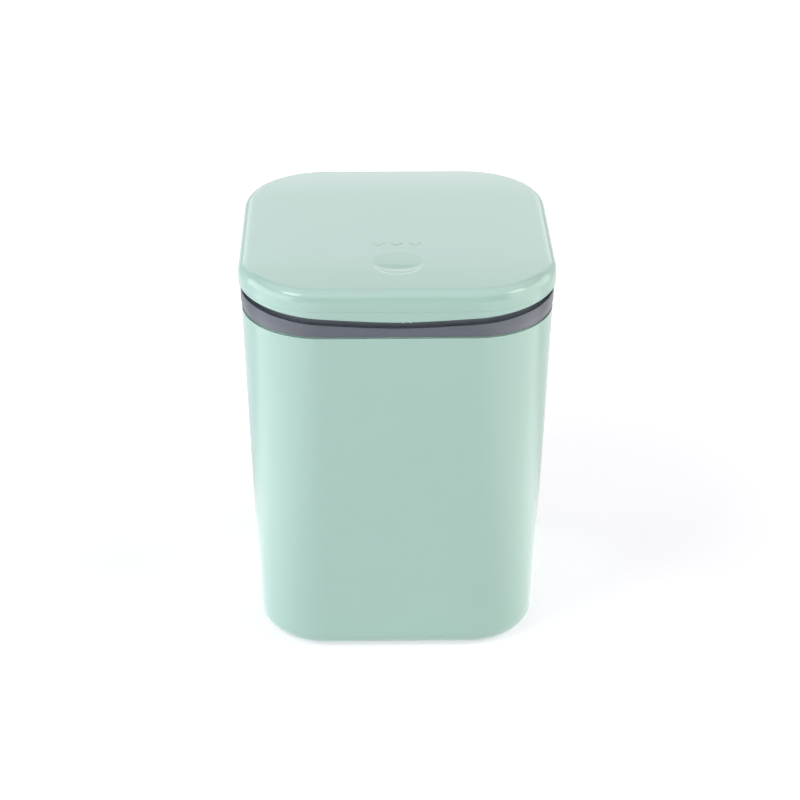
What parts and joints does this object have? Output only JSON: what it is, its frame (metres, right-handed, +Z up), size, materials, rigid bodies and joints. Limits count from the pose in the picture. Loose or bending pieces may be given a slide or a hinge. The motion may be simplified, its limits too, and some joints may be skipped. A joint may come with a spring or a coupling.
{
  "type": "push top countertop bin",
  "caption": "Small square countertop bin: tapered tub, lift-off collar with a push latch, and a hinged lid with a thumb dish that springs open when pressed.",
  "frame": {"origin": "on the worktop, under the middle of the bin", "axes": "+Z up, -Y towards the front with the thumb dish, +X to the right seen from the front"},
  "size_m": [0.15, 0.15, 0.2],
  "materials": {
    "mint_plastic": "polished moulding, high gloss",
    "grey_plastic": "satin moulding",
    "dark_plastic": "fine matt moulding",
    "spring_steel": "drawn wire and rod",
    "screw_steel": "zinc plated",
    "soft_pad": "translucent soft elastomer"
  },
  "bodies": {
    "tub": {"tub_shell": "mint_plastic"},
    "collar": {"collar_ring": "grey_plastic", "latch_case": "dark_plastic", "latch_cover": "dark_plastic", "latch_spring": "spring_steel", "case_screws": "screw_steel", "lid_spring_left": "spring_steel", "lid_spring_right": "spring_steel"},
    "plunger": {"latch_plunger": "dark_plastic"},
    "cam": {"cam_wire": "spring_steel"},
    "hinge_rod": {"hinge_pin": "spring_steel", "pin_cap_left": "spring_steel", "pin_cap_right": "spring_steel"},
    "lid": {"lid_shell": "mint_plastic", "lid_liner": "mint_plastic", "striker": "dark_plastic", "striker_screws": "screw_steel", "liner_screws": "screw_steel", "lid_pad_left": "soft_pad", "lid_pad_right": "soft_pad"}
  },
  "joints": [
    {"name": "collar_lift", "type": "slide", "parent": "tub", "child": "collar", "axis": [0, 0, 1], "range_m": [0, 0.06]},
    {"name": "lid_press", "type": "hinge", "parent": "collar", "child": "hinge_rod", "pos_m": [0, 0.072, 0.1856], "axis": [-1, 0, 0], "range_deg": [-1.06, 0], "stiffness_Nm_per_rad": 16, "springref_deg": 1.72},
    {"name": "lid_open", "type": "hinge", "parent": "hinge_rod", "child": "lid", "pos_m": [0, 0.072, 0.1856], "axis": [-1, 0, 0], "range_deg": [0, 80]},
    {"name": "latch_slide", "type": "slide", "parent": "collar", "child": "plunger", "axis": [0, 0, 1], "range_m": [-0.0025, 0], "deforming": ["latch_spring"]},
    {"name": "cam_swing", "type": "hinge", "parent": "collar", "child": "cam", "pos_m": [0, -0.06, 0.1592], "axis": [0, 1, 0], "range_deg": [0, 6]}
  ],
  "couplings": [
    {"joint": "latch_slide", "follows": "lid_press", "m_per_rad": 0.1275},
    {"joint": "cam_swing", "follows": "lid_press", "ratio": -5.6}
  ]
}
